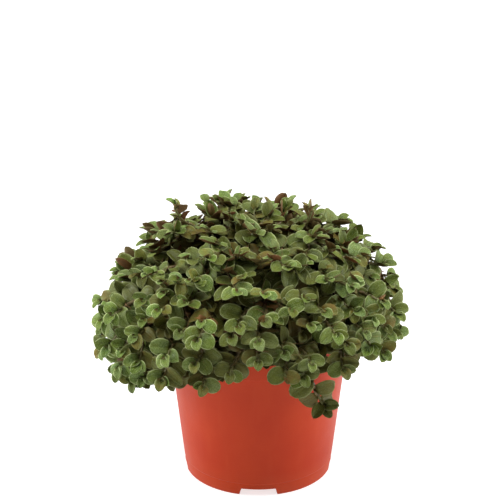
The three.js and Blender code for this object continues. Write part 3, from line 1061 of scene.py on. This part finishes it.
def leaf_turn(axis, k, place, heading, opening):
    """Which way a leaf stands: two ranks along the stem, facing out of the mound, opening with age.

    The youngest wraps the bud and looks out of the mound, with its blade turned down in front."""
    out = facing_way(place)
    heading = heading.lerp((out + UP * 0.15).normalized(), TIP_OUT[k] if k < len(TIP_OUT) else 0)
    heading.normalize()
    if k == 0:
        back = UP - heading * heading.dot(UP)
        back = back.normalized() if back.length > 0.1 else heading.orthogonal().normalized()
        roll = Matrix.Rotation(0.7 * spread(axis.seed, 61), 3, heading)
        return (roll @ Matrix((heading.cross(back), heading, back)).transposed()).to_quaternion()
    across = heading.cross((out + UP * 0.25).normalized())
    across = across.normalized() if across.length > 1e-4 else heading.orthogonal().normalized()
    roll = Matrix.Rotation(math.radians(ROLL_PLAY) * spread(axis.seed, 60 + k), 3, heading)
    open_way = roll @ across.cross(heading)
    across = roll @ across * (1 if (k + axis.seed) % 2 else -1)
    angle = math.radians(mix(YOUNG_ANGLE, OPEN_ANGLE, opening) + ANGLE_PLAY * spread(axis.seed, 40 + k))
    along = (across * math.cos(angle) + heading * math.sin(angle)).normalized()
    facing = mix(YOUNG_FACING, OPEN_FACING, opening) + FACING_PLAY * spread(axis.seed, 90 + k) + axis.facing
    face = (heading * math.cos(angle) - across * math.sin(angle)) * (1 - facing) + open_way * facing
    face = (face - along * face.dot(along)).normalized()
    raised = math.radians(DROOP_PLAY) * spread(axis.seed, 130 + k)
    often = BLUSHED_OFTEN if patch(place, BLUSHED) else RAISED_OFTEN * (place.z > RAISED_ABOVE)
    if chance(axis.seed, 131 + k) < often:
        raised += math.radians(RAISED_ANGLE * (1 + chance(axis.seed, 132 + k)))
    turn = Matrix((along.cross(face), along, face)).transposed()
    return (Matrix.Rotation(raised, 3, along.cross(face)) @ turn).to_quaternion()


class Points:
    """The points and stem edges that one shoot's node tree grows from."""

    LOOKS = ("tint", "age", "dry", "joint", "blush", "shade")

    def __init__(self):
        self.places, self.edges = [], []
        self.roles, self.kinds, self.sizes, self.turns, self.looks = [], [], [], [], []

    def put(self, place, role, kind=0, size=1.0, turn=(1, 0, 0, 0), **looks):
        self.places.append(tuple(place))
        self.roles.append(role)
        self.kinds.append(kind)
        self.sizes.append(size)
        self.turns.extend(turn)
        self.looks.append({"tint": 0.5, **looks})
        return len(self.places) - 1

    def mesh(self, name):
        mesh = bpy.data.meshes.new(name)
        mesh.from_pydata(self.places, self.edges, [])
        looks = {key: [look.get(key, 0.0) for look in self.looks] for key in self.LOOKS}
        leaf, rootlet = ([float(role == chosen) for role in self.roles] for chosen in (LEAF, ROOTLET))
        for key, values in {"size": self.sizes, "leaf": leaf, "rootlet": rootlet, **looks}.items():
            mesh.attributes.new(key, "FLOAT", "POINT").data.foreach_set("value", values)
        for key, values in {"role": self.roles, "kind": self.kinds}.items():
            mesh.attributes.new(key, "INT", "POINT").data.foreach_set("value", values)
        mesh.attributes.new("turn", "QUATERNION", "POINT").data.foreach_set("value", self.turns)
        return mesh


def put_stem(points, axis, thick):
    """The stem's line, thicker round each joint where a leaf's sheath wraps it."""
    joints = [distance + JOINT_OFFSET for distance in axis.nodes]
    steps = max(6, int(axis.length / STEM_STEP))
    before = None
    for k in range(steps + 1):
        distance = axis.length * (1 - k / steps)
        near = min((abs(distance - joint) for joint in joints), default=1.0)
        joint = max(0.0, 1 - near / JOINT_REACH)
        young = max(0.0, 1 - distance / YOUNG_LENGTH)
        size = thick * mix(TIP_TAPER, 1.0, min(1, distance / TAPER_LENGTH)) * (1 + JOINT_SWELL * joint)
        index = points.put(axis.at(distance)[0], STEM, size=size, joint=joint, tint=young)
        if before is not None:
            points.edges.append((before, index))
        before = index


def put_leaves(points, axis):
    """The leaves, older, dryer and more shaded the deeper and the lower in the mound they stand."""
    for k, distance in enumerate(axis.nodes):
        def draw(salt):
            return chance(axis.seed, salt + k)

        place, heading = axis.at(distance)
        opening = min(1, k / OPEN_AFTER)
        depth = max(0.0, 1 - mound_share(place))
        low = fade(seen_height(place), *SKIRT_HEIGHT) * (k > LOW_AFTER)

        often = DRY_ANYWHERE + DRY_DEEP * depth * (k > DRY_AFTER) + DRY_LOW * low
        if k > 1 and patch(place, WITHERED):
            often = WITHERED_OFTEN
        dry = 1.0 if draw(150) < often else 0.0
        length = min(axis.leaf, BUD_LEAF_LENGTH + LEAF_GROWTH * k) * (LENGTH_LEAST + LENGTH_PLAY * draw(20))
        length *= mix(1.0, DRY_LENGTH, dry)
        bud = FUNNEL if k == 0 else int(FUNNEL * draw(80))

        age = axis.age * draw(110) + AGE_DEEP * depth * draw(111) + AGE_LOW * low * draw(112) ** 2
        age = min(1.0, age + (AGED_LEAST + AGED_PLAY * draw(113)) * (draw(114) < AGED_OFTEN))
        # Painted shade: the green darkens the deeper in the mound a leaf stands
        tint = axis.tint + TINT_PLAY * (2 * draw(170) - 1) - DEEP_SHADE_TINT * depth
        tint += LIGHTER_BY * (draw(171) < LIGHTER_OFTEN)
        # Painted shade low on the mound's front, below the crown
        front_shaded = fade(abs(place.x), *FRONT_SHADE_WIDTH) * fade(seen_height(place), *FRONT_SHADE_HEIGHT)
        shade = min(1.0, SHADE_DEEP * depth + SHADE_PLAY * draw(180) ** 2 + SHADE_LOW * low)
        shade = min(1.0, shade + SHADE_SHELTERED * front_shaded * (place.y < 0))
        lit = 1.0 if patch(place, BLUSHED) else fade(place.z, *LIT_HEIGHT)
        blush = (BLUSH_SHADED + BLUSH_LIT * lit) * mix(BLUSH_YOUNG, 1.0, opening)
        blush *= BLUSH_STEADY + BLUSH_PLAY * draw(190)
        points.put(place, LEAF, DRIED if dry else bud, length, leaf_turn(axis, k, place, heading, opening),
                   tint=clamp(tint), age=age, dry=dry, blush=blush, shade=shade)


def put_rootlets(points, axis):
    """Rootlets hang from the joints inside the mound, and from more of them low on it."""
    for k, distance in enumerate(axis.nodes):
        place, heading = axis.at(distance)
        low = seen_height(place) < ROOTED_BELOW
        often = ROOTED_OFTEN + ROOTED_MORE * low
        if k < ROOTED_AFTER - ROOTED_SOONER * low or chance(axis.seed, 200 + k) > often:
            continue
        way = (heading.orthogonal().normalized() + Vector((0, 0, -ROOTLET_HANG))).normalized()
        way = Matrix.Rotation(6.3 * chance(axis.seed, 210 + k), 3, heading) @ way
        length = ROOTLET_LENGTH + ROOTLET_PLAY * chance(axis.seed, 230 + k)
        points.put(place, ROOTLET, int(3 * chance(axis.seed, 220 + k)), length, way.to_track_quat("Y", "Z"))


def rootlet(name, bend, sides=4, steps=7):
    """A thin wandering rootlet one unit long along +Y."""
    corners, faces = [], []
    for step in range(steps + 1):
        along = step / steps
        centre = Vector((bend * math.sin(4 * along), along, -bend * along ** 2 * 1.5))
        radius = 0.014 * (1 - 0.75 * along)
        for k in range(sides):
            angle = 2 * math.pi * k / sides
            corners.append(centre + Vector((radius * math.cos(angle), 0, radius * math.sin(angle))))
    for step in range(steps):
        for k in range(sides):
            a, b = step * sides + k, step * sides + (k + 1) % sides
            faces.append((a, b, b + sides, a + sides))
    faces.append(tuple(range(sides)))
    faces.append(tuple(steps * sides + k for k in reversed(range(sides))))
    return closed_mesh(name, corners, faces)


def rootlet_kinds():
    bends = (0.10, -0.16, 0.24)
    return templates("rootlet_kinds", [rootlet(f"rootlet_{k}", bend) for k, bend in enumerate(bends)])


def make_shoots(speckle):
    leaves, rootlets = leaf_kinds(), rootlet_kinds()
    looks = (leaf_material(speckle, blade_group()), stem_material(speckle), root_material(speckle))
    tree = shoot_tree(leaves, rootlets, *looks)
    mains = {}
    for index in range(SHOOTS):
        node = f"shoot_{index + 1:02d}"
        path = frame_path(node, lambda nudge: mound_path(index, nudge))
        mains[node] = Axis(index, path, MAIN_TINT + MAIN_TINT_PLAY * chance(index, 7))
    path = frame_path("shoot_trailing", trailing_path)
    sides = side_axes(mains)
    path[2:] = TRAILING_BEND
    mains["shoot_trailing"] = Axis(SHOOTS, path, TRAILING_TINT, leafy=TRAILING_LEAFY, leaf=TRAILING_LEAF,
                                  settle=False, spacing=TRAILING_SPACING, facing=TRAILING_FACING)
    for node, main in mains.items():
        points = Points()
        for axis in [main, *sides.get(node, [])]:
            put_stem(points, axis, MAIN_STEM if axis is main else SIDE_STEM)
            put_leaves(points, axis)
            put_rootlets(points, axis)
        shoot = grown(f"vine_{node}", points.mesh(f"{node}_points"), tree, Stem_Sides=STEM_SIDES)
        keep(shoot, node, slot="plant")
    discard(leaves)
    discard(rootlets)


# ------------------------------------------------------------------ pot and soil

def rounded(profile, radius, steps=3):
    """The profile with each corner between two longer edges turned into a small arc."""
    out = [profile[0]]
    for before, corner, after in zip(profile, profile[1:], profile[2:]):
        a, b, c = Vector(before), Vector(corner), Vector(after)
        cut = min(radius, (a - b).length / 2.2, (c - b).length / 2.2)
        start, end = b + (a - b).normalized() * cut, b + (c - b).normalized() * cut
        for k in range(steps + 1):
            t = k / steps
            out.append(tuple(start * (1 - t) ** 2 + b * (2 * t * (1 - t)) + end * t ** 2))
    out.append(profile[-1])
    return out


def pot_profile():
    band_foot = RIM_RADIUS - BAND_TAPER
    band_start = POT_HEIGHT - BAND_HEIGHT
    floor_top = FLOOR_HEIGHT + FLOOR
    wall_top = RIM_RADIUS - BAND_REACH
    return rounded([
        (0, FLOOR_HEIGHT),
        (RING_RADIUS - RING_SLOPE, FLOOR_HEIGHT),
        (RING_RADIUS, FLOOR_HEIGHT - RING_DEPTH),
        (RING_RADIUS + RING_WIDTH, FLOOR_HEIGHT - RING_DEPTH),
        (RING_RADIUS + RING_WIDTH + RING_SLOPE, FLOOR_HEIGHT),
        (BASE_RADIUS - FOOT_WIDTH, FLOOR_HEIGHT),
        (BASE_RADIUS - FOOT_WIDTH, 0),
        (BASE_RADIUS, 0),
        (wall_radius(STEP_HEIGHT) - STEP_DEPTH, STEP_HEIGHT),
        (wall_radius(STEP_HEIGHT), STEP_HEIGHT + STEP_DEPTH),
        (wall_top, band_start),
        (band_foot, band_start),
        (RIM_RADIUS, POT_HEIGHT),
        (RIM_RADIUS - WALL, POT_HEIGHT),
        (band_foot - WALL, band_start + WALL),
        (wall_top - WALL, band_start + WALL),
        (wall_radius(STEP_HEIGHT) - WALL, STEP_HEIGHT),
        (wall_radius(floor_top) - WALL - STEP_DEPTH, floor_top),
        (0, floor_top),
    ], EDGE_ROUND)


def notch_lift(angle):
    """How far the foot's edge is raised at an angle: a shallow notch with sloping ends at each quarter."""
    quarter = 2 * math.pi / NOTCHES
    off = (angle + math.pi / 2 + quarter / 2) % quarter - quarter / 2
    side = abs(off) * BASE_RADIUS
    ramp = (NOTCH_FOOT_WIDTH / 2 - side) / ((NOTCH_FOOT_WIDTH - NOTCH_TOP_WIDTH) / 2)
    ramp = clamp(ramp)
    return NOTCH_HEIGHT * ramp * ramp * (3 - 2 * ramp)


def turned(name, profile, columns, corner_at):
    """A profile of radii and heights turned round the upright axis; `corner_at` places each corner."""
    angles = [2 * math.pi * column / columns for column in range(columns)]
    corners = [corner_at(radius, height, angle) for angle in angles for radius, height in profile]
    faces, count = [], len(profile)
    for column in range(columns):
        for k in range(count - 1):
            a, b = column * count + k, (column + 1) % columns * count + k
            faces.append((a, a + 1, b + 1, b))
    return closed_mesh(name, corners, faces, MERGE)


def pot_corner(radius, height, angle):
    """A corner of the pot, raised with the wall's slope where a notch cuts the foot."""
    raised = notch_lift(angle)
    if radius > BASE_RADIUS - FOOT_WIDTH - EDGE_ROUND / 4 and height < raised:
        slope = (wall_radius(STEP_HEIGHT) - wall_radius(0)) / STEP_HEIGHT
        radius, height = radius + slope * (raised - height), raised
    return radius * math.cos(angle), radius * math.sin(angle), height


def drain_cutter():
    """Eight pegs in a ring, which cut the drain holes."""
    shape = bmesh.new()
    for k in range(DRAIN_HOLES):
        angle = 2 * math.pi * (k + 0.5) / DRAIN_HOLES
        centre = (DRAIN_CIRCLE * math.cos(angle), DRAIN_CIRCLE * math.sin(angle), FLOOR_HEIGHT)
        bmesh.ops.create_cone(shape, cap_ends=True, segments=40, radius1=DRAIN_RADIUS, radius2=DRAIN_RADIUS,
                              depth=4 * FLOOR, matrix=Matrix.Translation(centre))
    mesh = bpy.data.meshes.new("drain_pegs")
    shape.to_mesh(mesh)
    shape.free()
    return link("drain_pegs", mesh)


def make_pot(speckle):
    shell = link("pot_blank", turned("pot_blank", pot_profile(), POT_COLUMNS, pot_corner))
    pegs = drain_cutter()
    cut = shell.modifiers.new("drain", "BOOLEAN")
    cut.operation = "DIFFERENCE"
    cut.solver = "EXACT"
    cut.object = pegs
    pot = applied(shell, "nursery_pot")
    bpy.data.objects.remove(pegs)
    pot.data.materials.clear()
    pot.data.materials.append(plastic_material(speckle))
    pot.data.shade_smooth()
    pot.data.set_sharp_from_angle(angle=math.radians(38))
    return keep(pot, "pot", slot="pot_plastic")


def soil_height(x, y):
    """Heaped, settled soil: a low crown with lumps of a few sizes."""
    lumps = 0.0
    for k, (scale, height) in enumerate(((90, 0.0011), (210, 0.0007), (460, 0.0004))):
        lumps += height * math.sin(scale * x + 1.7 * k) * math.sin(scale * 1.13 * y + 2.3 * k + 0.6)
    crown = SOIL_CROWN * (1 - (math.hypot(x, y) / 0.055) ** 2)
    return SOIL_TOP + crown + lumps


def soil_corner(radius, height, angle):
    x, y = radius * math.cos(angle), radius * math.sin(angle)
    return x, y, soil_height(x, y) if height is None else height


def make_soil(speckle):
    inner = wall_radius(SOIL_TOP) - WALL - CLEARANCE
    profile = [(inner * k / SOIL_RINGS, None) for k in range(SOIL_RINGS + 1)]
    profile += [
        (inner - SOIL_EDGE_IN, SOIL_TOP - SOIL_EDGE_DOWN),
        (wall_radius(STEP_HEIGHT) - WALL - CLEARANCE, STEP_HEIGHT + 0.001),
        (wall_radius(SOIL_FOOT) - WALL - STEP_DEPTH - CLEARANCE, SOIL_FOOT),
        (0, SOIL_FOOT),
    ]
    mesh = turned("soil_plug", profile, SOIL_COLUMNS, soil_corner)
    material = soil_material(speckle)
    plug = link("soil_plug", mesh, material)
    keep(plug, "soil", slot="soil")
    crumbs = make_crumbs(mesh.copy(), material)
    return keep(crumbs, slot="soil")


def crumb(name, seed):
    """A rough crumb of peat about one unit across."""
    shape = bmesh.new()
    bmesh.ops.create_icosphere(shape, subdivisions=1, radius=0.5)
    for k, corner in enumerate(shape.verts):
        corner.co *= 0.7 + 0.6 * chance(seed, k)
        corner.co.z *= 0.7
    mesh = bpy.data.meshes.new(name)
    shape.to_mesh(mesh)
    shape.free()
    return mesh


def crumb_tree(kinds, material):
    """Scatters crumbs over the upward faces of the soil."""
    tree, given, made = geometry_tree("Scatter crumbs", [
        ("Density", "NodeSocketFloat", 1e5), ("Smallest", "NodeSocketFloat", 0.0008),
        ("Largest", "NodeSocketFloat", 0.003), ("Seed", "NodeSocketInt", 4),
    ])
    normal = add(tree, "GeometryNodeInputNormal").outputs[0]
    rise = add(tree, "ShaderNodeSeparateXYZ", Vector=normal).outputs["Z"]
    upward = math_node(tree, "GREATER_THAN", rise, 0.5)
    points = add(tree, "GeometryNodeDistributePointsOnFaces", Mesh=given["Geometry"],
                 Selection=upward, Density=given["Density"], Seed=given["Seed"]).outputs["Points"]
    turn = add(tree, "FunctionNodeRandomValue", {"data_type": "FLOAT_VECTOR"}, _1=(6.3, 6.3, 6.3),
               Seed=given["Seed"]).outputs[0]
    share = add(tree, "FunctionNodeRandomValue", {"data_type": "FLOAT"}, Seed=given["Seed"]).outputs[1]
    share = math_node(tree, "POWER", share, 2.5)
    size = remap(tree, share, 0.0, 1.0, given["Smallest"], given["Largest"])
    placed = add(tree, "GeometryNodeInstanceOnPoints", Points=points, Pick_Instance=True,
                 Instance=template_shapes(tree, kinds), Rotation=turn, Scale=size).outputs[0]
    whole = add(tree, "GeometryNodeRealizeInstances", Geometry=placed).outputs[0]
    whole = add(tree, "GeometryNodeSetMaterial", Geometry=whole, Material=material).outputs[0]
    tree.links.new(whole, made["Geometry"])
    return tree


def make_crumbs(surface, material):
    kinds = templates("crumb_kinds", [crumb(f"crumb_{k}", k) for k in range(4)])
    crumbs = grown("soil_crumbs", surface, crumb_tree(kinds, material), Density=CRUMB_DENSITY)
    discard(kinds)
    return crumbs


# ------------------------------------------------------------------ camera, light and floor

PAPER = (0.46, 0.46, 0.46)
PAPER_GRAIN = (0.48, 0.48, 0.48)
FLOOR_GLOW = 0.72
FLOOR_REACH = 4.0
LENS = 125.712
SENSOR = 36
CAMERA_DISTANCE = 1.1
CAMERA_ELEVATION = math.radians(21.2)
CAMERA_TARGET = Vector((-0.005355, 0, 0.149))


def make_camera():
    data = bpy.data.cameras.new("camera")
    data.sensor_width = SENSOR
    data.lens = LENS
    camera = link("camera", data)
    back = Vector((0, -math.cos(CAMERA_ELEVATION), math.sin(CAMERA_ELEVATION)))
    camera.location = CAMERA_TARGET + back * CAMERA_DISTANCE
    camera.rotation_euler = (math.pi / 2 - CAMERA_ELEVATION, 0, 0)
    bpy.context.scene.camera = camera


def make_light(name, place, size, power, aim=(0, 0, 0.1)):
    data = bpy.data.lights.new(name, "AREA")
    data.shape = "RECTANGLE"
    data.size, data.size_y = size
    data.energy = power
    light = link(name, data)
    light.location = place
    light.rotation_euler = (Vector(aim) - Vector(place)).to_track_quat("-Z", "Y").to_euler()


def make_studio():
    scene = bpy.context.scene
    world = bpy.data.worlds.new("studio")
    world.use_nodes = True
    tree = world.node_tree
    way = add(tree, "ShaderNodeTexCoord").outputs["Generated"]
    across = add(tree, "ShaderNodeSeparateXYZ", Vector=way).outputs["Y"]
    sky = tree.nodes["Background"].inputs
    sky["Color"].default_value = (1, 1, 1, 1)
    tree.links.new(remap(tree, across, -0.9, 0.35, 0.22, 0.85), sky["Strength"])
    scene.world = world
    scene.view_settings.view_transform = "Standard"
    make_light("left_softbox", (-1.1, 0.05, 0.50), (0.6, 0.9), 16)
    make_light("right_softbox", (1.1, 0.05, 0.50), (0.6, 0.9), 14)
    make_light("overhead", (0.0, -0.15, 1.3), (0.9, 0.7), 15)
    floor = bpy.data.meshes.new("floor")
    corners = [(x * FLOOR_REACH, y * FLOOR_REACH, 0) for x, y in ((-1, -1), (1, -1), (1, 1), (-1, 1))]
    floor.from_pydata(corners, [], [(0, 1, 2, 3)])
    material, tree, shader = new_material("floor_paper", 0.9)
    grain = noise(tree, 60.0, 3.0, object_place(tree))
    tree.links.new(blend_colour(tree, grain, PAPER, PAPER_GRAIN), shader["Base Color"])
    shader["Emission Color"].default_value = (1, 1, 1, 1)
    shader["Emission Strength"].default_value = FLOOR_GLOW
    link("floor", floor, material)


# ------------------------------------------------------------------ the whole

SPECKLE = speckle_group()
make_camera()
make_pot(SPECKLE)
make_soil(SPECKLE)
make_shoots(SPECKLE)
make_studio()
